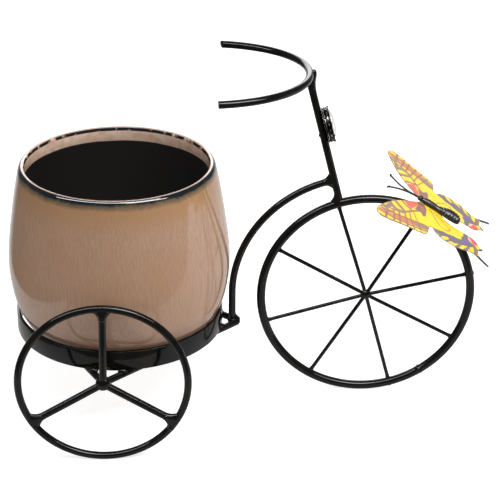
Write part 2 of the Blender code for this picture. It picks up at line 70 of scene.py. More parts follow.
camera = {
    "place": (0.04786, -1.055089, 0.641139),
    "yaw": 2.675,
    "pitch": 26.213,
    "roll": 0.633,
    "lens": 115.195,
    "shift": (-0.00216, -0.00346),
}


def placeCamera():
    x, y, z = camera["place"]
    bpy.ops.object.camera_add(location=(ringAxis + x, y, z))
    eye = bpy.context.object
    turn = turned(-camera["yaw"], "Z") @ turned(90 - camera["pitch"], "X") @ turned(camera["roll"], "Z")
    eye.rotation_euler = turn.to_euler()
    eye.data.lens = camera["lens"]
    eye.data.sensor_width = 36
    eye.data.shift_x, eye.data.shift_y = camera["shift"]
    bpy.context.scene.camera = eye


placeCamera()
bpy.context.scene.view_settings.view_transform = "Standard"
print("camera placed")


# Working steps shared by the pieces
def deselect():
    bpy.ops.object.select_all(action="DESELECT")


def alone(obj):
    deselect()
    bpy.context.view_layer.objects.active = obj
    obj.select_set(True)
    return obj


def called(name):
    obj = bpy.context.object
    obj.name = obj.data.name = name
    return obj


def editAll():
    edit()
    bpy.ops.mesh.select_mode(type="VERT")
    selectAll()


def edit():
    bpy.ops.object.mode_set(mode="EDIT")


def done():
    bpy.ops.object.mode_set(mode="OBJECT")


def selectAll():
    bpy.ops.mesh.select_all(action="SELECT")


def choose(obj, kind, test):
    alone(obj)
    edit()
    bpy.ops.mesh.select_mode(type=kind)
    bpy.ops.mesh.select_all(action="DESELECT")
    done()
    points = obj.data.vertices
    if kind == "VERT":
        for point in points:
            point.select = test(point.co)
    elif kind == "EDGE":
        for edge in obj.data.edges:
            edge.select = all(test(points[index].co) for index in edge.vertices)
    else:
        for face in obj.data.polygons:
            face.select = test(face.center)
    edit()


def modify(obj, kind, **settings):
    alone(obj)
    bpy.ops.object.modifier_add(type=kind)
    modifier = obj.modifiers[-1]
    for key, value in settings.items():
        setattr(modifier, key, value)
    bpy.ops.object.modifier_apply(modifier=modifier.name)


def settle(obj, place=Matrix(), angle=40):
    alone(obj)
    obj.matrix_world = place @ obj.matrix_world
    bpy.ops.object.transform_apply(location=True, rotation=True, scale=True)
    bpy.ops.object.shade_smooth_by_angle(angle=math.radians(angle))
    return obj


def twin(obj, name, place=Matrix()):
    alone(obj)
    bpy.ops.object.duplicate()
    return settle(called(name), place)


def join(name, *parts):
    alone(parts[0])
    for part in parts:
        part.select_set(True)
    bpy.ops.object.join()
    return called(name)


def pull(move, scale, about):
    bpy.ops.mesh.extrude_region_move(TRANSFORM_OT_translate={"value": move})
    bpy.ops.transform.resize(value=scale, center_override=about)


def grow(name, sides, stations, place=Matrix(), angle=40):
    # Stations: height, half width, half depth, shift across, shift in depth
    rows = [row + (row[1], 0, 0)[len(row) - 2:] for row in stations]
    height, wide, deep, x, y = rows[0]
    deselect()
    bpy.ops.mesh.primitive_circle_add(
        vertices=sides, radius=wide, fill_type="NGON", location=(x, y, height)
    )
    obj = called(name)
    editAll()
    bpy.ops.transform.resize(value=(1, deep / wide, 1), center_override=(x, y, height))
    for last, row in zip(rows, rows[1:]):
        move = (row[3] - last[3], row[4] - last[4], row[0] - last[0])
        pull(move, (row[1] / last[1], row[2] / last[2], 1), (row[3], row[4], row[0]))
    selectAll()
    bpy.ops.mesh.normals_make_consistent(inside=False)
    done()
    return settle(obj, place, angle)


def bead(spot, size, stretch=(1, 1, 1), turn=0, seed=1):
    # A drop of weld
    deselect()
    bpy.ops.mesh.primitive_uv_sphere_add(
        segments=18, ring_count=12, radius=size, location=spot, scale=stretch, rotation=(0, 0, turn)
    )
    drop = settle(called("bead"))
    roughen(drop, lambda at: True, size * 0.09, seed)
    return settle(drop, angle=60)


def roughen(obj, test, offset, seed):
    choose(obj, "VERT", test)
    bpy.ops.transform.vertex_random(offset=offset, seed=seed)
    done()


def fit(obj, body, slot, look, *nodes):
    obj.data.materials.clear()
    obj.data.materials.append(look)
    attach(obj, body)
    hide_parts(*nodes)


def fitSteel(obj, node):
    fit(obj, "frame", "black_steel", blackEnamel, node)


# Node helpers
def newNode(look, kind):
    return look.node_tree.nodes.new("ShaderNode" + kind)


def addNode(look, kind, inputs, **settings):
    made = newNode(look, kind)
    for key, value in settings.items():
        setattr(made, key, value)
    for key, value in inputs.items():
        if isinstance(value, bpy.types.NodeSocket):
            look.node_tree.links.new(value, made.inputs[key])
        else:
            made.inputs[key].default_value = value
    return made.outputs[0]


def newLook(name, **constants):
    look = bpy.data.materials.new(name)
    look.use_nodes = True
    shader = look.node_tree.nodes["Principled BSDF"]
    for key, value in constants.items():
        shader.inputs[key.replace("_", " ")].default_value = value
    return look, shader.inputs


def feed(look, output, socket):
    look.node_tree.links.new(output, socket)


def objectPlace(look, scale=(1, 1, 1), location=(0, 0, 0)):
    spot = newNode(look, "TexCoord")
    inputs = {"Vector": spot.outputs["Object"], "Scale": scale, "Location": location}
    return addNode(look, "Mapping", inputs)


def attribute(look, name):
    made = newNode(look, "Attribute")
    made.attribute_name = name
    return made.outputs["Fac"]


def noise(look, scale, detail=3, stretch=(1, 1, 1), roughness=0.5):
    inputs = {"Vector": objectPlace(look, stretch), "Scale": scale}
    return addNode(look, "TexNoise", {**inputs, "Detail": detail, "Roughness": roughness})


def span(look, value, low, high, toLow=0, toHigh=1, way="LINEAR"):
    inputs = {"Value": value, 1: low, 2: high, 3: toLow, 4: toHigh}
    return addNode(look, "MapRange", inputs, interpolation_type=way)


def ramp(look, factor, *stops):
    made = newNode(look, "ValToRGB")
    feed(look, factor, made.inputs[0])
    bar = made.color_ramp.elements
    while len(bar) < len(stops):
        bar.new(0.5)
    for element, (place, colour) in zip(bar, stops):
        element.position = place
        element.color = (*colour, 1)
    return made.outputs[0]


def tint(look, factor, first, second, way="MIX"):
    made = newNode(look, "Mix")
    made.data_type = "RGBA"
    made.blend_type = way
    for index, value in ((0, factor), (6, first), (7, second)):
        if isinstance(value, bpy.types.NodeSocket):
            feed(look, value, made.inputs[index])
        else:
            made.inputs[index].default_value = value if index == 0 else (*value, 1)
    return made.outputs[2]


def sums(look, way, first, second=0.0):
    return addNode(look, "Math", {0: first, 1: second}, operation=way)


def times(look, first, second):
    return sums(look, "MULTIPLY", first, second)


def plus(look, first, second):
    return sums(look, "ADD", first, second)


def bump(look, height, strength, distance):
    inputs = {"Height": height, "Strength": strength, "Distance": distance}
    return addNode(look, "Bump", inputs)


# Gloss black stoving enamel on steel
enamel = {
    "thin": (0.003, 0.003, 0.003),
    "thick": (0.0085, 0.007, 0.0062),
    "roughness": (0.05, 0.13),
    "peel": 620,
    "peelDepth": 0.00002,
}


def makeEnamel(name, values):
    look, sockets = newLook(name, Specular_IOR_Level=0.22, IOR=1.5)
    cloud = noise(look, 90, 4)
    feed(look, ramp(look, cloud, (0.35, values["thin"]), (0.7, values["thick"])), sockets["Base Color"])
    wear = noise(look, 240, 3)
    feed(look, span(look, wear, 0.3, 0.7, *values["roughness"]), sockets["Roughness"])
    peel = noise(look, values["peel"], 2)
    feed(look, bump(look, peel, 0.35, values["peelDepth"]), sockets["Normal"])
    return look


blackEnamel = makeEnamel("blackEnamel", enamel)

# Taupe glaze: fine vertical streaks, dark where it breaks over the lip, brown-black inside, and painted
# shade low on the pot beside the ring
glaze = {
    "taupe": (0.325, 0.192, 0.125),
    "pale": (0.4, 0.26, 0.185),
    "ochre": (0.33, 0.18, 0.08),
    "teal": (0.006, 0.011, 0.015),
    "olive": (0.11, 0.082, 0.05),
    "crest": (0.46, 0.32, 0.25),
    # Inside band: the glaze's own pinkish colour, partly painted light: both tones are lightened to stand in
    # for the sky's reflection and to make up for the shade inside the pot
    "inside": (0.6, 0.39, 0.28),
    "insidePale": (0.78, 0.58, 0.46),
    "well": (0.0055, 0.0035, 0.0028),
    # Distances from the crest in metres, outwards negative
    "outerBreak": (-0.0009, -0.0014, -0.0037, -0.0058, -0.0095),
    "ochreEnd": -0.03,
    "innerBreak": (0.0009, 0.0013, 0.0034, 0.0039),
    "innerEnd": 0.012,
    # Painted shade: between these distances from the crest, beside the ring, the glaze darkens to the foot
    # colour below, standing in for the black ring's reflection
    "footPaintedShade": (-0.1, -0.117),
    "foot": (0.12, 0.05, 0.025),
    # How far the breaks wander: broadly, finely, and inside
    "wander": (0.004, 0.0022, 0.0012),
}


def makeGlaze(values):
    look, sockets = newLook("taupeGlaze", IOR=1.5)
    along = attribute(look, "fromCrest")
    streak = noise(look, 1, 4, (1300, 1300, 9), 0.6)
    cloud = noise(look, 26, 4)
    body = tint(look, span(look, streak, 0.3, 0.7), values["taupe"], values["pale"])
    body = tint(look, span(look, cloud, 0.35, 0.7, 0, 0.35), body, values["ochre"])
    broadly, finely, inside = values["wander"]
    wave = sums(look, "SUBTRACT", noise(look, 60, 5), 0.5)
    ragged = sums(look, "SUBTRACT", noise(look, 420, 4), 0.5)
    waver = plus(look, times(look, wave, broadly), times(look, ragged, finely))
    outer = plus(look, along, waver)
    start, full, late, end, faded = values["outerBreak"]
    fade = span(look, outer, values["ochreEnd"], faded, 0, 0.75, "SMOOTHSTEP")
    body = tint(look, fade, body, values["ochre"])
    body = tint(look, span(look, outer, faded, end, 0, 0.85, "SMOOTHSTEP"), body, values["olive"])
    # Painted shade: darker low on the pot beside the ring, standing in for the black ring's reflection
    foot = span(look, along, *values["footPaintedShade"], 0, 0.6, "SMOOTHSTEP")
    body = tint(look, foot, body, values["foot"])
    dark = times(look, span(look, outer, end, late), span(look, along, start, full))
    top = tint(look, span(look, along, full, start), body, values["crest"])
    shell = tint(look, dark, top, values["teal"])
    # Inside
    gentle = plus(look, along, times(look, wave, inside))
    # Painted light: the inside band's speckled glaze is lightened to stand in for its sky reflection and the
    # shade inside the pot
    speckle = tint(look, span(look, noise(look, 160, 3), 0.3, 0.7), values["inside"], values["insidePale"])
    start, full, late, end = values["innerBreak"]
    line = times(look, span(look, along, start, full), span(look, along, end, late))
    broken = times(look, line, span(look, noise(look, 150, 3), 0.3, 0.42))
    inner = tint(look, broken, speckle, values["teal"])
    edge = values["innerEnd"]
    inner = tint(look, span(look, gentle, edge - 0.0003, edge + 0.0003), inner, values["well"])
    crossing = span(look, along, 0.0002, start + 0.0001)
    feed(look, tint(look, crossing, shell, inner), sockets["Base Color"])
    relief = plus(look, times(look, streak, 0.3), noise(look, 45, 2))
    feed(look, bump(look, relief, 0.1, 0.0002), sockets["Normal"])
    feed(look, span(look, along, edge - 0.0003, edge + 0.0003, 0.06, 0.55), sockets["Roughness"])
    return look


taupeGlaze = makeGlaze(glaze)

# Dark cast metal of the lamp, clear glass with painted light (a white base colour for the backdrop seen
# through it), black plastic and the magnet
castings = {
    "lampMetal": ((0.01, 0.0095, 0.0085), (0.04, 0.037, 0.033), (0.12, 0.26), 900, 0.00006, 1),
    "lampFoil": ((0.6, 0.58, 0.54), (0.9, 0.88, 0.84), (0.25, 0.4), 700, 0.00005, 1),
    "blackPlastic": ((0.005, 0.005, 0.005), (0.01, 0.0095, 0.0095), (0.3, 0.42), 1400, 0.00002, 0),
    "magnetSteel": ((0.07, 0.07, 0.07), (0.16, 0.155, 0.15), (0.35, 0.6), 1600, 0.00006, 1),
}


def makeCasting(name):
    low, high, roughness, scale, depth, metallic = castings[name]
    look, sockets = newLook(name, Metallic=metallic)
    feed(look, ramp(look, noise(look, scale / 3, 4), (0.35, low), (0.68, high)), sockets["Base Color"])
    feed(look, span(look, noise(look, scale / 2, 3), 0.3, 0.7, *roughness), sockets["Roughness"])
    feed(look, bump(look, noise(look, scale, 2), 0.4, depth), sockets["Normal"])
    return look


lampMetal, lampFoil, blackPlastic, magnetSteel = (makeCasting(name) for name in castings)


def makeGlass():
    # Painted light: the white base colour gives the clear glass a milky white look, standing in for the
    # white backdrop seen through it
    look, sockets = newLook("lampGlass", Transmission_Weight=0.6, IOR=1.4, Base_Color=(0.95, 0.95, 0.96, 1))
    feed(look, span(look, noise(look, 300, 2), 0.4, 0.8, 0, 0.05), sockets["Roughness"])
    return look


lampGlass = makeGlass()
print("finishes mixed")

# Wheels. The spokes lean in degrees, as measured on the photo
rearWheel = {
    "rod": 0.00265, "hub": 0.0053, "hubRough": 0.00022,
    # The hub's outline: shares of its length and of its radius
    "nugget": ((0, 0.8), (0.2, 0.97), (0.45, 1.04), (0.7, 1), (0.86, 0.84), (0.95, 0.6), (1, 0.3)),
    "seam": {"left": 312, "right": 322},
    "lean": (89, 210.8, 327.7),
    # Drops of weld on a spoke: size, how far short of the rim, how far aside, stretch
    "drops": ((0.0021, 0.0078, 0.0011, (1, 1, 1)), (0.0007, 0.0132, 0.00209, (1, 0.6, 1.6))),
}
frontWheel = {
    "rod": 0.0032, "spoke": 0.0014, "hub": 0.0039, "hubRough": 0.0002, "seam": 304,
    "lean": (12.3, 60, 107.3, 150, 195.8, 238.5, 285.4, 331),
    "drops": ((0.0022, -0.0016, 0, (1, 0.8, 1)),),
    "dropSpokes": (1, 7),
}
# Butt weld where a hoop closes: a low ridge between two fine cuts
buttWeld = {
    "near": 0.007,
    "cuts": (-0.0011, -0.0006, -0.0002, 0.0002, 0.0006, 0.0011),
    "ridges": ((0.0008, 1.07), (0.0004, 1.06)),
    "half": 0.0012,
    "rough": 0.00012,
}
# A spoke widens into its weld: how far along the fillet, and how much of it
fillet = ((0, 0), (0.25, 0.06), (0.42, 0.17), (0.58, 0.34), (0.74, 0.56), (0.88, 0.8), (1, 1))
filletWidth = 2.3
filletReach = 2.7
wireFilletWidth = 1.3
filletRough = 0.00014


def makeRim(name, node, rod, seam):
    centre = middleOf(node)
    radius = halfHeight(node) - rod
    deselect()
    bpy.ops.mesh.primitive_torus_add(
        location=centre, rotation=(math.pi / 2, 0, 0), major_segments=160, minor_segments=24,
        major_radius=radius, minor_radius=rod,
    )
    rim = settle(called(name))
    out = ray(seam)
    along = Vector((-out.z, 0, out.x))
    spot = centre + out * radius

    def near(at, half):
        return abs((at - spot).dot(along)) < half and (at - spot).length < buttWeld["near"]

    for offset in buttWeld["cuts"]:
        choose(rim, "FACE", lambda at: near(at, buttWeld["near"]))
        bpy.ops.mesh.bisect(plane_co=spot + along * offset, plane_no=along)
        done()
    for half, swell in buttWeld["ridges"]:
        choose(rim, "VERT", lambda at: near(at, half))
        bpy.ops.transform.resize(value=(swell,) * 3, center_override=spot + out * rod * 0.3)
        done()
    roughen(rim, lambda at: near(at, buttWeld["half"]), buttWeld["rough"], seam)
    return settle(rim)


def spokeStations(start, radius, rod, wire, width):
    surface = radius - rod
    reach = wire * filletReach
    rows = [(start, wire), (surface - reach * 1.6, wire)]
    rows += [(surface - reach * (1 - part), wire * (1 + (width - 1) * rise), wire) for part, rise in fillet]
    return rows + [(radius - rod * 0.3, wire * width * 1.03, wire)]


def spoke(name, node, blank, centre, angle, seed, reach, drops):
    made = twin(blank, name, Matrix.Translation(centre) @ turned(90 - angle, "Y"))
    far = reach * 0.93
    roughen(made, lambda at: (at - centre).length > far, filletRough, seed)
    out = ray(angle)
    welds = []
    for size, short, aside, stretch in drops:
        near = Vector((0, math.copysign(aside, centre.y), 0))
        welds.append(bead(centre + near + out * (reach - short), size, stretch, 0, seed))
    if welds:
        made = join(name, made, *welds)
    fitSteel(settle(made), node)


def finishHub(hub, node, rough, seed):
    roughen(hub, lambda at: True, rough, seed)
    modify(hub, "SUBSURF", levels=1, render_levels=1)
    fitSteel(settle(hub), node)


def buildRearWheels():
    rod = rearWheel["rod"]
    radius = halfHeight("left_wheel_rim") - rod
    rows = spokeStations(rearWheel["hub"] - rod, radius, rod, rod, filletWidth)
    blank = grow("spokeBlank", 24, rows)
    for side, sign in (("left", 1), ("right", -1)):
        rim = side + "_wheel_rim"
        centre = middleOf(rim)
        fitSteel(makeRim(side + "Rim", rim, rod, rearWheel["seam"][side]), rim)
        for number, angle in enumerate(rearWheel["lean"], 1):
            node = f"{side}_wheel_spoke_{number}"
            name = f"{side}Spoke{number}"
            spoke(name, node, blank, centre, angle, number * 7 + sign, radius, rearWheel["drops"])
        low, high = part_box(side + "_wheel_hub")
        long = high.y - low.y
        rows = [(long * part, rearWheel["hub"] * size) for part, size in rearWheel["nugget"]]
        inner = low.y if sign > 0 else high.y
        place = Matrix.Translation((centre.x, inner, centre.z)) @ turned(-sign * 90, "X")
        hub = grow(side + "Hub", 20, rows, place)
        finishHub(hub, side + "_wheel_hub", rearWheel["hubRough"], 5 + sign)
    bpy.data.objects.remove(blank)


def buildFrontWheel():
    rod, wire = frontWheel["rod"], frontWheel["spoke"]
    centre = middleOf("front_wheel_rim")
    radius = halfHeight("front_wheel_rim") - rod
    rim = makeRim("frontRim", "front_wheel_rim", rod, frontWheel["seam"])
    fitSteel(rim, "front_wheel_rim")
    rows = spokeStations(frontWheel["hub"] - wire * 1.5, radius, rod, wire, wireFilletWidth)
    blank = grow("wireBlank", 16, rows)
    for number, angle in enumerate(frontWheel["lean"], 1):
        drops = frontWheel["drops"] if number in frontWheel["dropSpokes"] else ()
        node = f"front_wheel_spoke_{number}"
        spoke(f"frontSpoke{number}", node, blank, centre, angle, number, radius, drops)
    bpy.data.objects.remove(blank)
    low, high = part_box("front_wheel_hub")
    half = (high.y - low.y) / 2
    rows = [(half * math.sin(turn), frontWheel["hub"] * math.cos(turn) + 0.0001)
            for turn in steps(-84, 85, 14)]
    hub = grow("frontHub", 20, rows, Matrix.Translation(centre) @ turned(90, "X"))
    finishHub(hub, "front_wheel_hub", frontWheel["hubRough"], 4)


buildRearWheels()
buildFrontWheel()
print("wheels welded")

# Ring for the pot and the bent rod under it
ring = {"radius": 0.0762, "thickness": 0.0023, "edge": 0.0003}
base = {
    "nose": 0.0884, "tail": 0.057, "halfWidth": 0.0881, "setback": 0.0095, "bend": 0.0035,
    "rod": 0.0026,
    # Welds: at the nose, how far back, how high and how big; under the ring, where, how high and how big
    "noseWeld": (0.0042, 0.0006, 0.0037),
    "crossings": ((0.0753, 0.0118), (0.0038, 0.0761), (-0.0169, 0.0743)),
    "crossingWeld": (0.0024, 0.0021),
}


def buildRing():
    low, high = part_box("pot_ring")
    deselect()
    bpy.ops.mesh.primitive_cylinder_add(
        vertices=160, radius=ring["radius"], depth=high.z - low.z, end_fill_type="NOTHING",
        location=middleOf("pot_ring"),
    )
    hoop = settle(called("potRing"))
    modify(hoop, "SOLIDIFY", thickness=ring["thickness"], offset=-1)
    modify(hoop, "BEVEL", width=ring["edge"], segments=3, limit_method="ANGLE")
    fitSteel(settle(hoop, angle=50), "pot_ring")


def rodFromLine(obj, radius, sides=6):
    alone(obj)
    bpy.ops.object.convert(target="CURVE")
    obj.data.bevel_depth = radius
    obj.data.bevel_resolution = sides
    obj.data.use_fill_caps = True
    bpy.ops.object.convert(target="MESH")
    return settle(bpy.context.object)


def buildBase():
    height = middleOf("base_frame").z
    corners = (
        (base["nose"], 0),
        (-base["setback"], base["halfWidth"]),
        (-base["tail"], 0),
        (-base["setback"], -base["halfWidth"]),
    )
    deselect()
    bpy.ops.mesh.primitive_plane_add(size=1, location=(ringAxis, 0, height))
    line = called("baseRod")
    for point, corner in zip(line.data.vertices, (3, 0, 2, 1)):
        point.co = (*corners[corner], 0)
    editAll()
    bpy.ops.mesh.delete(type="ONLY_FACE")
    selectAll()
    bpy.ops.mesh.bevel(offset=base["bend"] * 0.9, segments=8, affect="VERTICES")
    done()
    rod = rodFromLine(line, base["rod"])
    back, up, size = base["noseWeld"]
    drops = [bead((ringAxis + base["nose"] - back, 0, height + up), size, (1.1, 1, 0.8), 0, 6)]
    up, size = base["crossingWeld"]
    for side in (1, -1):
        for number, (x, y) in enumerate(base["crossings"]):
            turn = math.atan2(y * side, x) + math.pi / 2
            spot = (ringAxis + x, y * side, height + up)
            drops.append(bead(spot, size, (1.7, 0.9, 0.8), turn, number + side))
    rod = settle(join("baseRod", rod, *drops), angle=50)
    fitSteel(rod, "base_frame")


buildRing()
buildBase()

# Backbone, stem and handlebar
backbone = {"reach": 0.0834, "bend": 0.0936, "bendHeight": 0.084, "rod": 0.00265}
stem = {
    "reach": 0.1355, "height": 0.258, "lean": 14.5, "rod": 0.0027,
    # The lump left by the weld on the bar, in rod radii: height, back and front edge, depth
    "head": (
        (0.3, 1.15, 1.75, 0.4), (0.15, 0.9, 2.05, 0.62), (-0.2, 0.5, 2.2, 0.8), (-0.7, 0.0, 2.25, 0.9),
        (-1.4, -0.6, 2.1, 0.97), (-2.2, -0.95, 1.75, 1), (-3.2, -1, 1.4, 1), (-4.6, -1, 1.1, 1),
        (-6, -1, 1, 1),
    ),
    "headLong": 0.009, "rough": 0.00015,
    "drip": (0.0482, 0.0009),
}
bar = {
    "centre": 0.0632, "long": 0.0736, "halfWide": 0.0623, "left": 79.2, "right": 83.5,
    "saw": {"left": 24, "right": 8},
    "rod": 0.0027, "sunk": 0.0001, "edge": 0.0003,
}
stemFrame = Matrix.Translation((ringAxis + stem["reach"], 0, stem["height"])) @ turned(-stem["lean"], "Y")


def meetCircle(start, way, centre, radius):
    offset = start - centre
    half = offset.dot(way)
    return -half - math.sqrt(half * half - offset.length_squared + radius * radius)


def buildStem():
    rod = stem["rod"]
    wheel = middleOf("front_wheel_rim")
    rimRadius = halfHeight("front_wheel_rim") - frontWheel["rod"]
    way = stemFrame.to_3x3() @ Vector((0, 0, -1))
    toRim = meetCircle(stemFrame.translation, way, wheel, rimRadius)
    rows = [(rod * z, rod * (front - back) / 2, rod * deep, rod * (back + front) / 2)
            for z, back, front, deep in stem["head"]]
    surface = toRim - frontWheel["rod"]
    extra = rod * (filletWidth - 1)
    for part, rise in fillet:
        swell = extra * rise / 2
        rows.append((-(surface - rod * 2 * (1 - part)), rod + swell, rod, -swell))
    rows.append((-(toRim - frontWheel["rod"] * 0.3), rod + extra / 2, rod, -extra / 2))
    post = grow("stem", 24, rows, stemFrame)
    high, low = stem["height"] - stem["headLong"], stem["height"] - toRim * 0.9
    roughen(post, lambda at: at.z > high or at.z < low, stem["rough"], 3)
    down, size = stem["drip"]
    drip = bead(stemFrame @ Vector((-rod * 0.9, -rod * 0.3, -down)), size, (1, 1, 1.4), 0, 2)
    post = join("stem", post, drip)
    fitSteel(settle(post), "stem")


def buildBackbone():
    rod, reach, bend = backbone["rod"], ringAxis + backbone["reach"], backbone["bend"]
    centre = Vector((reach + bend, 0, backbone["bendHeight"]))
    way = stemFrame.to_3x3() @ Vector((0, 0, -1))
    down = meetCircle(stemFrame.translation, way, centre, bend)
    across = stemFrame.translation + way * down - centre
    sweep = math.pi - math.atan2(across.z, across.x)
    ground = middleOf("base_frame").z
    extra = rod * (filletWidth - 1)
    rows = [(ground + rod * 0.3, rod + extra / 2, rod, reach + extra / 2)]
    for part, rise in reversed(fillet):
        swell = extra * rise / 2
        rows.append((ground + rod + rod * 2 * (1 - part), rod + swell, rod, reach + swell))
    rows.append((centre.z, rod, rod, reach))
    tube = grow("backbone", 24, rows)
    top = centre.z - 0.00001
    choose(tube, "FACE", lambda at: at.z > top)
    before = sweep - rod * 3 / bend
    bpy.ops.mesh.spin(steps=36, angle=before, center=centre, axis=(0, -1, 0))
    last = before
    for part, rise in fillet[1:] + ((1.5, 1.03),):
        turn = before + rod * 2 * part / bend
        bpy.ops.mesh.spin(steps=1, angle=turn - last, center=centre, axis=(0, -1, 0))
        last = turn
        out = Vector((-math.cos(turn), 0, math.sin(turn)))
        widen(tube, centre + out * bend, out, (1 + (filletWidth - 1) * rise) * rod)
    done()
    fitSteel(settle(tube), "backbone")


def widen(obj, spot, out, half):
    # Stretch the selected loop along out, until its half width is half
    done()
    picked = [point for point in obj.data.vertices if point.select]
    was = max(abs((point.co - spot).dot(out)) for point in picked)
    for point in picked:
        point.co += out * (point.co - spot).dot(out) * (half / was - 1)
    edit()


def buildBar():
    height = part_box("handlebar")[1].z - bar["rod"] - bar["sunk"]
    middle = Vector((ringAxis + bar["centre"], 0, height))
    deselect()
    bpy.ops.curve.primitive_bezier_circle_add(radius=1, location=middle)
    rail = called("handlebar")
    edit()
    bpy.ops.curve.select_all(action="SELECT")
    bpy.ops.transform.resize(value=(bar["long"], bar["halfWide"], 1), center_override=middle)
    done()
    rail.data.resolution_u = 40
    rail.data.bevel_depth = bar["rod"]
    rail.data.bevel_resolution = 8
    bpy.ops.object.convert(target="MESH")
    rail = settle(bpy.context.object)
    ends = []
    for side, sign in (("left", 1), ("right", -1)):
        turn = math.radians(bar[side])
        spot = middle + Vector((bar["long"] * math.cos(turn), sign * bar["halfWide"] * math.sin(turn), 0))
        saw = math.radians(bar["saw"][side])
        way = Vector((-math.cos(saw), -math.sin(saw), 0))
        choose(rail, "FACE", lambda at: (at.y > 0) == (sign > 0))
        bpy.ops.mesh.bisect(plane_co=spot, plane_no=way, clear_outer=True, use_fill=True)
        done()
        ends.append((spot, way))

    def onCut(at):
        return any(abs((at - spot).dot(way)) < 0.00002 and (at - spot).length < 0.01 for spot, way in ends)

    choose(rail, "EDGE", onCut)
    bpy.ops.mesh.bevel(offset=bar["edge"], segments=2, clamp_overlap=True)
    editAll()
    bpy.ops.mesh.remove_doubles(threshold=0.00001)
    done()
    fitSteel(settle(rail), "handlebar")


buildStem()
buildBackbone()
buildBar()
print("frame welded")

# Pot, in metres: the outline's radius and height, from the foot to the lip. Its radii at the eight
# heights from 0.0148 to 0.1148 come from a program's fit to the photo
pot = {
    "side": (
        (0.0617, 0), (0.0625, 0.0008), (0.06568, 0.0028), (0.06923, 0.007), (0.0734, 0.0148),
        (0.07615, 0.0211), (0.0784, 0.0288), (0.0806, 0.0428), (0.0812, 0.0568), (0.0797, 0.0718),
        (0.0776, 0.0868), (0.0753, 0.1018), (0.0729, 0.1148), (0.0715, 0.1213),
    ),
    "lip": (
        (0.0709, 0.1244), (0.0699, 0.12665), (0.0686, 0.1278), (0.0676, 0.128), (0.0666, 0.12745),
        (0.0661, 0.1261),
    ),
    "foot": (0.0537, 0.0545, 0.0025),
    # Inside: the wall's thickness, the height at which it ends, and its turn into the floor
    "wall": 0.0054,
    "wallEnd": 0.014,
    "turn": (0.0599, 0.0106),
    "floor": 0.0085,
}


def buildPot():
    low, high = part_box("pot")
    centre = middleOf("pot")
    inner, outer, lift = pot["foot"]
    rows = [(lift, 0.0004), (lift, inner * 0.5), (lift, inner), (0, outer)]
    rows += [(height, radius) for radius, height in pot["side"] + pot["lip"]]
    inside = [row for row in reversed(pot["side"]) if row[1] > pot["wallEnd"]]
    rows += [(height, radius - pot["wall"]) for radius, height in inside]
    rows += [pot["turn"][::-1], (pot["floor"], outer), (pot["floor"], 0.03), (pot["floor"], 0.0004)]
    made = grow("glazedPot", 96, rows, Matrix.Translation((centre.x, centre.y, low.z)))
    modify(made, "SUBSURF", levels=1, render_levels=1)
    # How far each point lies from the crest along the outline, outwards negative
    crest = max(rows)
    path = [0]
    for last, row in zip(rows, rows[1:]):
        path.append(path[-1] + math.hypot(row[0] - last[0], row[1] - last[1]))
    start = path[rows.index(crest)]
    reach = made.data.attributes.new("fromCrest", "FLOAT", "POINT")
    for point in made.data.vertices:
        height = point.co.z - low.z
        radius = math.hypot(point.co.x - centre.x, point.co.y - centre.y)
        best = 1
        for index in range(len(rows) - 1):
            a, b = Vector(rows[index]), Vector(rows[index + 1])
            line = b - a
            part = max(0, min(1, (Vector((height, radius)) - a).dot(line) / line.length_squared))
            gap = (a + line * part - Vector((height, radius))).length
            if gap < best:
                best = gap
                reach.data[point.index].value = path[index] + line.length * part - start
    fit(settle(made, angle=60), "pot", "taupe_glaze", taupeGlaze, "pot")


buildPot()
print("pot glazed")

# Headlamp: plate, pierced gallery and a domed glass
lamp = {
    "drop": 0.0421, "radius": 0.0129,
    "plate": (0.0028, 0.0037),
    "plateEdge": 0.0002,
    "bezel": (0.004, 0.0078),
    "wire": 0.00085, "loops": 8,
    "stone": {"base": 0.004, "radius": 0.0117, "girdle": 0.0016, "dome": 0.0048},
    "foilGap": 0.00014, "foil": 0.0001,
}
lampPlace = stemFrame @ Matrix.Translation((0, 0, -lamp["drop"])) @ turned(90, "Y")


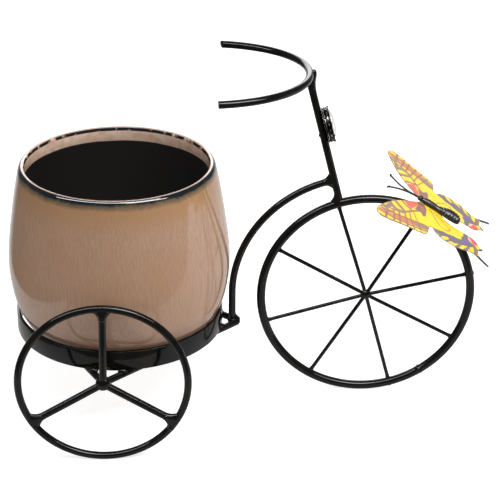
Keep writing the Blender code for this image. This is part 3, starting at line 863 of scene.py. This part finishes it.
def buildLamp():
    radius = lamp["radius"]
    low, high = lamp["plate"]
    edge = lamp["plateEdge"]
    rows = [(low, 0.0005), (low, radius * 0.6), (low, radius - edge), (low + edge, radius),
            (high - edge, radius), (high, radius - edge), (high, radius * 0.86),
            (high - 0.0003, radius * 0.8), (high - 0.0004, 0.0005)]
    plate = grow("lampPlate", 64, rows, lampPlace)
    fit(plate, "frame", "lamp_metal", lampMetal, "headlamp_plate")

    low, high = lamp["bezel"]
    wire = lamp["wire"]
    parts = []
    for height in (low + wire, high - wire):
        deselect()
        bpy.ops.mesh.primitive_torus_add(
            location=(0, 0, height), major_segments=80, minor_segments=12,
            major_radius=radius - wire - 0.00002, minor_radius=wire,
        )
        parts.append(called("bezelWire"))
    tall = high - low - wire
    lean = math.atan2(math.pi * radius / lamp["loops"], tall)
    half = tall / 2 / math.cos(lean)
    rows = [(half * part, wire * size) for part, size in ((-1, 1.1), (-0.4, 0.8), (0.4, 0.8), (1, 1.1))]
    strut = grow("bezelStrut", 8, rows)
    for number in range(lamp["loops"] * 2):
        turn = Matrix.Rotation(math.tau * (number + 0.5) / lamp["loops"] / 2, 4, "Z")
        stand = Matrix.Translation((radius - wire, 0, (low + high) / 2))
        tilt = Matrix.Rotation(lean if number % 2 else -lean, 4, "X")
        parts.append(twin(strut, "bezelStrut", turn @ stand @ tilt))
    bpy.data.objects.remove(strut)
    bezel = settle(join("lampBezel", *parts), lampPlace)
    fit(bezel, "frame", "lamp_metal", lampMetal, "headlamp_bezel")

    base, size, girdle, dome = (lamp["stone"][key] for key in ("base", "radius", "girdle", "dome"))
    rows = [(base, 0.0004), (base, size * 0.7), (base, size - edge), (base + edge, size),
            (base + girdle, size)]
    rows += [(base + girdle + dome * math.sin(turn), size * math.cos(turn)) for turn in steps(8, 89, 8)]
    stone = grow("lampGlass", 64, rows, lampPlace, 60)
    fit(stone, "frame", "lamp_glass", lampGlass, "headlamp_stone")
    # Bright foil round the glass, behind the openings
    wall, under = size + lamp["foilGap"], low - 0.00012
    rows = [(under, 0.0005), (under, wall), (high - wire, wall)]
    foil = grow("lampFoil", 80, rows, lampPlace)
    choose(foil, "FACE", lambda at: (lampPlace.inverted() @ at).z > high - wire - 0.0001)
    bpy.ops.mesh.delete(type="FACE")
    done()
    modify(foil, "SOLIDIFY", thickness=lamp["foil"], offset=0)
    fit(settle(foil), "frame", "lamp_metal", lampFoil)


buildLamp()
print("lamp set")

# Butterfly: two printed wings, a ribbed body and feelers, on a magnet
butterfly = {
    "angle": 57.7,
    "turn": 11,
    "tip": 1.8,
    "halfSpan": 0.0677,
    "chord": 0.0938,
    "lift": {"left": -3.2, "right": 2.2},
    "film": 0.0004,
    "air": 0.0003,
    "magnet": (0.004, 0.0013),
    "grid": 0.0008,
    # Places on a wing: how far out, and how far ahead, as shares of the half span and the chord. They
    # were picked on the photo, turned into millimetres through the camera and adjusted
    "edge": (
        (0, 0.1), (0.06, 0.115), (0.26, 0.24), (0.42, 0.318), (0.59, 0.375), (0.76, 0.422), (0.88, 0.443),
        (0.965, 0.43), (1, 0.392), (0.975, 0.323), (0.925, 0.25), (0.87, 0.16), (0.825, 0.073),
        (0.79, 0.026), (0.73, 0.002), (0.6, -0.006), (0.525, -0.013), (0.505, -0.036), (0.585, -0.068),
        (0.632, -0.125), (0.637, -0.18), (0.633, -0.24), (0.6, -0.297), (0.548, -0.35), (0.522, -0.39),
        (0.53, -0.425), (0.558, -0.453), (0.588, -0.483), (0.615, -0.512), (0.63, -0.536), (0.618, -0.545),
        (0.594, -0.543), (0.566, -0.517), (0.538, -0.49), (0.505, -0.464), (0.46, -0.45), (0.4, -0.446),
        (0.365, -0.45), (0.33, -0.472), (0.292, -0.486), (0.274, -0.483), (0.272, -0.465), (0.25, -0.45),
        (0.2, -0.436), (0.15, -0.406), (0.133, -0.368), (0.132, -0.329), (0.134, -0.268), (0.143, -0.21),
        (0.09, -0.125), (0, -0.1),
    ),
}
# The print, in millimetres out and ahead: lines with half widths, and patches, placed in the same way
wingPrint = {
    "vein": (
        (1, (18, 8), (26, 13.6), (36.5, 19.6), (42, 24), (45, 29), (46.5, 34), (49, 39)),
        (0.8, (44, 29.2), (50, 28), (59, 27.2), (66, 27)),
        (0.8, (42, 24.4), (50, 23.4), (58, 22.4), (64, 21.6)),
        (0.8, (37.5, 20), (46, 18.4), (54, 16.7), (61, 15.4)),
        (0.65, (31, 16.6), (42.5, 14.4), (53, 11.4), (59, 9.8)),
        (0.55, (26.5, 13.8), (32, 11.8), (40, 9.2), (56, 4.4)),
        (0.9, (46.5, 34), (54, 33.4), (68, 33.6)),
        (1, (50, 41), (55, 35), (51, 28.6), (46.5, 18.8), (41.8, 9), (39, 3.6), (38.6, -1)),
        (0.9, (60, 41), (60, 35), (59, 28), (56, 20), (52.6, 10.8), (46.4, -1)),
        (0.55, (4, 1), (19.4, -6.4), (22.8, -8.8), (24.8, -11.4), (24.4, -15), (21, -17.4), (17.6, -17.2),
         (15, -13), (5, -3)),
        (0.45, (9, -12), (11.8, -19.4), (13.4, -25)),
    ),
    "bar": (
        (1.3, (18, 25.4), (23.6, 20.2), (26.6, 15.2)),
        (1.9, (26.4, 30.4), (31.4, 25), (36, 20.4)),
        (2.3, (34.4, 34), (39.6, 30), (41.4, 26.4), (40, 22.6)),
        (1.8, (45, 40), (49.4, 36.2), (46, 33.6), (40.4, 32.4)),
        (1.5, (50, 30), (53.4, 35)),
    ),
    "fore": (
        (2.3, (57, 38), (57, 31.4), (54.6, 25.6)),
        (3.3, (54, 25), (51.2, 19.6), (48.4, 13.6), (45.6, 8)),
    ),
    "foreRear": ((4.6, (45.4, 8), (42.6, 3), (42, -2)),),
    "foreEdge": (
        (2.6, (68.4, 38), (67.6, 31), (64.6, 24.6), (61, 16.6), (59.4, 12)),
        (0.7, (59.4, 12), (56, 5), (52, 0)),
    ),
    "violet": ((1.8, (33.4, -17), (32.6, -20.4)), (2.2, (21.4, -28.6), (23.4, -30.6), (25.2, -32.2))),
    "margin": (
        (0.9, (36, -11.8), (44, -8.6)),
        (1.1, (37, -18.6), (44.5, -14)),
        (1.2, (33, -27.2), (43, -23.6)),
        (1.3, (29.6, -34), (39, -30.6)),
        (1.7, (21, -38.4), (27.6, -39.8), (34, -39.8)),
        (0.9, (37, -4.4), (41.8, -6.6), (43.8, -11), (43.9, -15)),
        (0.8, (43.4, -22), (41, -27)),
        (0.8, (37.6, -32), (35, -37)),
        (1.2, (26, -41), (22, -43.6)),
    ),
    "tail": ((2.6, (36.8, -42.6), (39.4, -46), (43, -51.5)), (1.5, (21.5, -44.4), (18.4, -46.4))),
}
wingPatches = {
    "red": ((4.5, 13.2), (9, 17.2), (17, 22.4), (22.3, 18.6), (25.6, 15.6), (20, 13.7), (10, 10.6)),
    "brown": ((2, 6), (2.4, 9.3), (5.5, 12.6), (10, 10.6), (16, 11.8), (21, 13), (19, 8.9), (21.6, 6.9),
              (25.4, 5.2), (21.5, 3.2), (8.5, 3.4)),
    "blush": ((6, 9.4), (12, 9), (17, 6.2), (13, 4.6), (7, 5.6)),
    "hind": ((34.6, -1), (32.4, -8), (29.4, -12), (28.9, -15.8), (26.4, -20.6), (25.4, -24.8), (22.7, -27.8),
             (19, -27), (15.6, -28.6), (12, -28.4), (8.4, -29.8), (7.6, -33), (11.6, -32.6), (16.8, -33.2),
             (18.6, -35.5), (19.8, -38), (22.5, -38.8), (27.4, -35.4), (30.2, -31.5), (33.8, -26.8),
             (38, -21.6), (37.9, -18), (34.6, -16.2), (37.4, -12.2), (39.6, -9), (37.4, -4.6)),
    "spot": ((9.5, -34), (13, -32.8), (17.2, -34), (19, -37.8), (17, -41.2), (12.5, -40.6), (9.5, -38)),
    "glow": ((12.4, -33), (16, -33.8), (17.6, -36), (16, -36), (13, -34.6)),
}


def placePerch():
    # On top of the front rim, turned and tipped
    out = ray(butterfly["angle"])
    ahead = Vector((-out.z, 0, out.x))
    spot = Matrix.Translation(middleOf("front_wheel_rim") + out * halfHeight("front_wheel_rim"))
    spot = spot @ Matrix((ahead, out.cross(ahead), out)).transposed().to_4x4()
    return spot @ turned(-butterfly["turn"], "Z") @ turned(butterfly["tip"], "Y")


perch = placePerch()
alongPerch = perch @ turned(90, "Y")  # grown pieces lie towards the head
filmTop = butterfly["air"] * 2 + butterfly["magnet"][1] + butterfly["film"]


def smoothLine(points, steps):
    # A curve through every point, Catmull-Rom
    spots = [Vector(point) for point in points]
    spots = [spots[0]] + spots + [spots[-1]]
    line = []
    for before, start, end, after in zip(spots, spots[1:], spots[2:], spots[3:]):
        for step in range(steps):
            t = step / steps
            line.append((start * 2 + (end - before) * t + (before * 2 - start * 5 + end * 4 - after) * t * t
                         + (start * 3 - before - end * 3 + after) * t * t * t) / 2)
    return line + [spots[-1]]


def lineGap(spot, lines):
    # From the spot to the nearest printed line's edge, inside negative
    best = 1000
    for half, *points in lines:
        for start, end in zip(points, points[1:]):
            way = end - start
            part = max(0, min(1, (spot - start).dot(way) / way.length_squared))
            best = min(best, (start + way * part - spot).length - half)
    return best


def patchGap(spot, points):
    inside = False
    for start, end in zip(points, points[1:] + points[:1]):
        if (start.y > spot.y) != (end.y > spot.y):
            if spot.x < start.x + (end.x - start.x) * (spot.y - start.y) / (end.y - start.y):
                inside = not inside
    gap = lineGap(spot, [(0, *points, points[0])])
    return -gap if inside else gap


def traceWing():
    wide, long = butterfly["halfSpan"], butterfly["chord"]
    line = smoothLine([(ahead * long, out * wide) for out, ahead in butterfly["edge"]], 3)
    deselect()
    bpy.ops.mesh.primitive_plane_add(size=0.001, location=(line[0].x, line[0].y, 0))
    wing = called("leftWing")
    editAll()
    bpy.ops.mesh.merge(type="CENTER")
    for last, spot in zip(line, line[1:]):
        bpy.ops.mesh.extrude_vertices_move(TRANSFORM_OT_translate={"value": (*(spot - last), 0)})
    selectAll()
    bpy.ops.mesh.edge_face_add()
    bpy.ops.mesh.quads_convert_to_tris()
    grid = butterfly["grid"]
    for reach, way in ((wide, (0, 1, 0)), (long / 2, (1, 0, 0))):
        for step in range(-int(long / grid), int(wide / grid) + 1):
            if abs(step * grid) < reach:
                selectAll()
                bpy.ops.mesh.bisect(plane_co=[step * grid * part for part in way], plane_no=way)
    done()
    settle(wing)
    # How far each point lies from every printed line and patch
    spots = [Vector((point.co.y, point.co.x)) * 1000 for point in wing.data.vertices]
    gaps = {}
    for name, rows in wingPrint.items():
        marks = [(half, *map(Vector, points)) for half, *points in rows]
        gaps[name] = [lineGap(spot, marks) for spot in spots]
    outline = [(0.35, *(Vector((spot.y, spot.x)) * 1000 for spot in line))]
    gaps["edge"] = [lineGap(spot, outline) for spot in spots]
    for name, points in wingPatches.items():
        patch = [Vector(point) for point in points]
        gaps[name] = [patchGap(spot, patch) for spot in spots]
    for name, values in gaps.items():
        wing.data.attributes.new(name + "Gap", "FLOAT", "POINT").data.foreach_set("value", values)
    modify(wing, "SOLIDIFY", thickness=butterfly["film"], offset=0)
    return wing


# Layers of the print from the bottom up: mark, colour, and in millimetres past the mark's edge, where the
# colour ends and how softly
filmInks = (
    ("edge", (0.93, 0.6, 0.16), 0.8, 1.6),
    ("fore", (0.62, 0.2, 0.12), 0.0, 0.8),
    ("foreRear", (0.33, 0.2, 0.17), -0.8, 2.6),
    ("foreEdge", (0.27, 0.2, 0.165), 0.0, 0.6),
    ("vein", (0.31, 0.15, 0.09), 0.0, 0.5),
    ("bar", (0.3, 0.19, 0.15), 0.0, 0.6),
    ("margin", (0.24, 0.165, 0.12), 0.0, 0.5),
    ("hind", (0.165, 0.14, 0.16), 0.0, 0.5),
    ("violet", (0.17, 0.1, 0.42), -0.9, 1.8),
    ("brown", (0.25, 0.145, 0.125), 0.0, 0.5),
    ("blush", (0.5, 0.16, 0.13), -0.4, 2.2),
    ("red", (0.84, 0.14, 0.105), 0.0, 0.6),
    ("spot", (0.88, 0.085, 0.1), 0.0, 0.5),
    ("glow", (0.95, 0.72, 0.8), -0.2, 1.2),
    ("tail", (0.025, 0.025, 0.025), 0.0, 1.2),
)


def makeFilm():
    look, sockets = newLook("printedFilm", IOR=1.5, Specular_IOR_Level=0.4)
    colour = ramp(look, noise(look, 130, 3), (0.3, (0.95, 0.6, 0.02)), (0.7, (0.97, 0.68, 0.04)))
    grain = times(look, sums(look, "SUBTRACT", noise(look, 700, 2), 0.5), 0.5)
    rim = span(look, plus(look, attribute(look, "edgeGap"), grain), 0.6, 0)
    for name, ink, start, soft in filmInks:
        gap = plus(look, attribute(look, name + "Gap"), grain)
        cover = span(look, gap, start + soft / 2, start - soft / 2)
        if name == "edge":
            cover = times(look, cover, 0.45)
        colour = tint(look, cover, colour, ink)
        if name == "glow":  # the dark rim goes over all but the tails
            colour = tint(look, times(look, rim, 0.85), colour, (0.25, 0.17, 0.1))
    feed(look, colour, sockets["Base Color"])
    feed(look, span(look, noise(look, 300, 2), 0.3, 0.7, 0.28, 0.42), sockets["Roughness"])
    feed(look, bump(look, noise(look, 90, 2), 0.25, 0.0003), sockets["Normal"])
    return look


# The body's outline: shares of its length and of its radius, with eight ribs between front and end
insect = {
    "head": 0.0122, "long": 0.0358, "radius": 0.0038, "above": 0.0014,
    "front": (
        (0, 0.2), (0.012, 0.45), (0.035, 0.62), (0.06, 0.63), (0.085, 0.5), (0.11, 0.45), (0.16, 0.66),
        (0.22, 0.74), (0.3, 0.74), (0.38, 0.69), (0.46, 0.6),
    ),
    "ribs": (0.8, 1.03, 1.2, 1.3, 1.32, 1.28, 1.16, 0.94),
    "end": ((0.96, 0.84), (0.98, 0.64), (0.994, 0.4), (1, 0.18)),
    "eye": {"back": 0.0016, "long": 0.001, "wide": 0.00095, "deep": 0.00085, "up": 0.0005, "aside": 0.00165},
}
feeler = {
    "long": 0.0249, "wire": 0.0007, "knob": 0.00105,
    "spread": (0.0008, 0.0114),
    # How far the tip sinks, and how far the middle bows
    "sag": {"left": (0.0022, -0.0044), "right": (0.0002, 0.005)},
    "parts": (0, 0.08, 0.16, 0.25, 0.34, 0.43, 0.52, 0.61, 0.7, 0.79, 0.87, 0.905, 0.92, 0.94, 0.96, 0.98,
              0.993, 1),
}


def buildWings():
    left = traceWing()
    alone(left)
    bpy.ops.object.duplicate()
    right = called("rightWing")
    alone(right)
    right.scale.y = -1
    bpy.ops.object.transform_apply(location=True, rotation=True, scale=True)
    editAll()
    bpy.ops.mesh.flip_normals()
    done()
    level = Matrix.Translation((0, 0, filmTop - butterfly["film"] / 2))
    for wing, lift in ((left, butterfly["lift"]["left"]), (right, -butterfly["lift"]["right"])):
        settle(wing, perch @ level @ turned(lift, "X"))
        editAll()
        bpy.ops.mesh.normals_make_consistent(inside=False)
        done()
    wings = join("butterflyWings", left, right)
    fit(settle(wings), "butterfly", "printed_film", makeFilm(), "butterfly_wings")


def buildBody(flat, axis):
    head, long, radius = insect["head"], insect["long"], insect["radius"]
    shape = list(insect["front"])
    rib = 0.5 / len(insect["ribs"])
    for number, size in enumerate(insect["ribs"]):
        start = 0.5 + rib * number
        shape += [(start, size * 0.95), (start + rib * 0.22, size * 0.99),
                  (start + rib * 0.5, size), (start + rib * 0.82, size * 0.985)]
    shape = [row for row in shape if row[0] < 0.95] + list(insect["end"])
    rows = [(head - long * part, radius * size, radius * size, -axis, 0) for part, size in shape]
    body = grow("butterflyBody", 28, rows)
    eye = insect["eye"]
    eyes = []
    for sign in (1, -1):
        rows = [(head - eye["back"] + eye["long"] * math.sin(turn), eye["wide"] * math.cos(turn) + 0.00002,
                 eye["deep"] * math.cos(turn) + 0.00002, -axis - eye["up"], sign * eye["aside"])
                for turn in steps(-84, 85, 24)]
        eyes.append(grow("eye", 14, rows))
    choose(body, "FACE", lambda at: True)
    bpy.ops.mesh.bisect(plane_co=(-flat, 0, 0), plane_no=(1, 0, 0), clear_outer=True, use_fill=True)
    done()
    body = settle(join("butterflyBody", body, *eyes), alongPerch, 60)
    fit(body, "butterfly", "black_plastic", blackPlastic, "butterfly_body")


def buildFeelers(axis):
    root = insect["head"] + butterfly["air"]
    near, wide = feeler["spread"]
    for side, sign in (("left", 1), ("right", -1)):
        sink, bow = feeler["sag"][side]
        rows = []
        for part in feeler["parts"]:
            knob = feeler["knob"] * math.sqrt(max(0.01, 1 - ((part - 0.95) / 0.051) ** 2))
            size = knob if part > 0.93 else max(feeler["wire"], knob)
            spread = near + wide * (0.55 * part + 0.45 * part * part)
            sag = sink * part + bow * part * (1 - part)
            rows.append((root + feeler["long"] * part, size, size, -(axis - sag), sign * spread))
        made = grow(side + "Feeler", 12, rows, alongPerch, 60)
        fit(made, "butterfly", "black_plastic", blackPlastic, "butterfly_antenna_" + side)


def buildMagnet():
    radius, thick = butterfly["magnet"]
    low, edge = butterfly["air"], 0.00025
    rows = [(low, radius * 0.3), (low, radius - edge), (low + edge, radius), (low + thick - edge, radius),
            (low + thick, radius - edge), (low + thick, radius * 0.3)]
    disc = grow("magnetDisc", 40, rows, perch)
    fit(disc, "butterfly", "magnet", magnetSteel, "butterfly_magnet")


bodyFlat = filmTop + butterfly["air"]
bodyAxis = bodyFlat + insect["above"]
buildWings()
buildBody(bodyFlat, bodyAxis)
buildFeelers(bodyAxis)
buildMagnet()
print("butterfly perched")

# Studio: a pale table, white behind, a dim room in front, soft lamps
studio = {
    "table": {"left": -0.33, "right": 3, "front": -0.21, "back": 4},
    "tone": 0.66,
    "lift": 0.05,
    "white": 0.62,
    "surround": 0.35,
    "room": 0.16,
    # Place, size, and how bright each lamp looks in a mirror
    "lamps": (
        ("overhead", (0.45, -0.7, 1.4), (0.9, 0.7), 10),
        ("glint", (-0.1, -0.65, 1.35), (3.4, 0.2), 26),
        ("backSoftbox", (-0.1, 1.5, 0.85), (1.5, 0.6), 4.5),
        ("sideCard", (1.15, -0.25, 0.35), (0.7, 0.8), 4),
        ("leftCard", (-1.0, -0.55, 0.3), (0.6, 0.5), 3),
    ),
    "aim": (0, 0, 0.1),
    # Where the white backdrop starts and is full, as parts of the way looked along
    "behind": (-0.1, 0.3),
    "aside": (0.6, 0.35),
    "low": (0.75, 0.35),
}


def seenRays(look):
    rays = newNode(look, "LightPath").outputs
    seen = sums(look, "MAXIMUM", rays["Is Camera Ray"], rays["Is Glossy Ray"])
    return rays, sums(look, "MAXIMUM", seen, rays["Is Transmission Ray"])


def buildStudio():
    table = studio["table"]
    long, wide = table["back"] - table["front"], table["right"] - table["left"]
    deselect()
    middle = (table["left"] + wide / 2, table["front"] + long / 2, 0)
    bpy.ops.mesh.primitive_plane_add(size=1, location=middle)
    floor = called("studioFloor")
    editAll()
    bpy.ops.transform.resize(value=(wide, long, 1), center_override=floor.location)
    done()
    settle(floor)
    look, sockets = newLook("paleFloor", Roughness=0.9, Specular_IOR_Level=0.1)
    tone = studio["tone"]
    shade = ramp(look, noise(look, 3, 2), (0.3, (tone,) * 3), (0.7, (tone * 1.01,) * 3))
    feed(look, shade, sockets["Base Color"])
    rays, seen = seenRays(look)
    sockets["Emission Color"].default_value = (1, 1, 1, 1)
    shine = times(look, seen, studio["lift"])
    white = times(look, rays["Is Camera Ray"], studio["white"])
    feed(look, plus(look, shine, white), sockets["Emission Strength"])
    floor.data.materials.append(look)

    world = bpy.data.worlds.new("studioSurround")
    world.use_nodes = True
    bpy.context.scene.world = world
    back = world.node_tree.nodes["Background"]
    back.inputs["Color"].default_value = (1, 1, 1, 1)
    rays, seen = seenRays(world)
    # White backdrop behind and low down at the sides, dimmer above and in front
    spot = newNode(world, "TexCoord")
    parts = newNode(world, "SeparateXYZ")
    feed(world, spot.outputs["Generated"], parts.inputs[0])
    behind = span(world, parts.outputs["Y"], *studio["behind"])
    aside = span(world, sums(world, "ABSOLUTE", parts.outputs["X"]), *studio["aside"])
    low = span(world, parts.outputs["Z"], *studio["low"])
    white = times(world, times(world, behind, low), aside)
    backdrop = span(world, white, 0, 1, studio["room"], 1)
    backdrop = sums(world, "MAXIMUM", backdrop, rays["Is Camera Ray"])
    strength = times(world, seen, backdrop)
    plain = times(world, sums(world, "SUBTRACT", 1.0, seen), studio["surround"])
    feed(world, plus(world, strength, plain), back.inputs["Strength"])

    for name, place, size, glow in studio["lamps"]:
        bpy.ops.object.light_add(type="AREA", location=place)
        softbox = called(name)
        softbox.visible_camera = False
        softbox.visible_glossy = "Card" not in name
        softbox.visible_diffuse = "glint" not in name
        softbox.data.shape = "RECTANGLE"
        softbox.data.size, softbox.data.size_y = size
        softbox.data.energy = glow * math.pi * size[0] * size[1]
        way = Vector(studio["aim"]) - Vector(place)
        softbox.rotation_euler = way.to_track_quat("-Z", "Y").to_euler()


buildStudio()
print("studio lit")
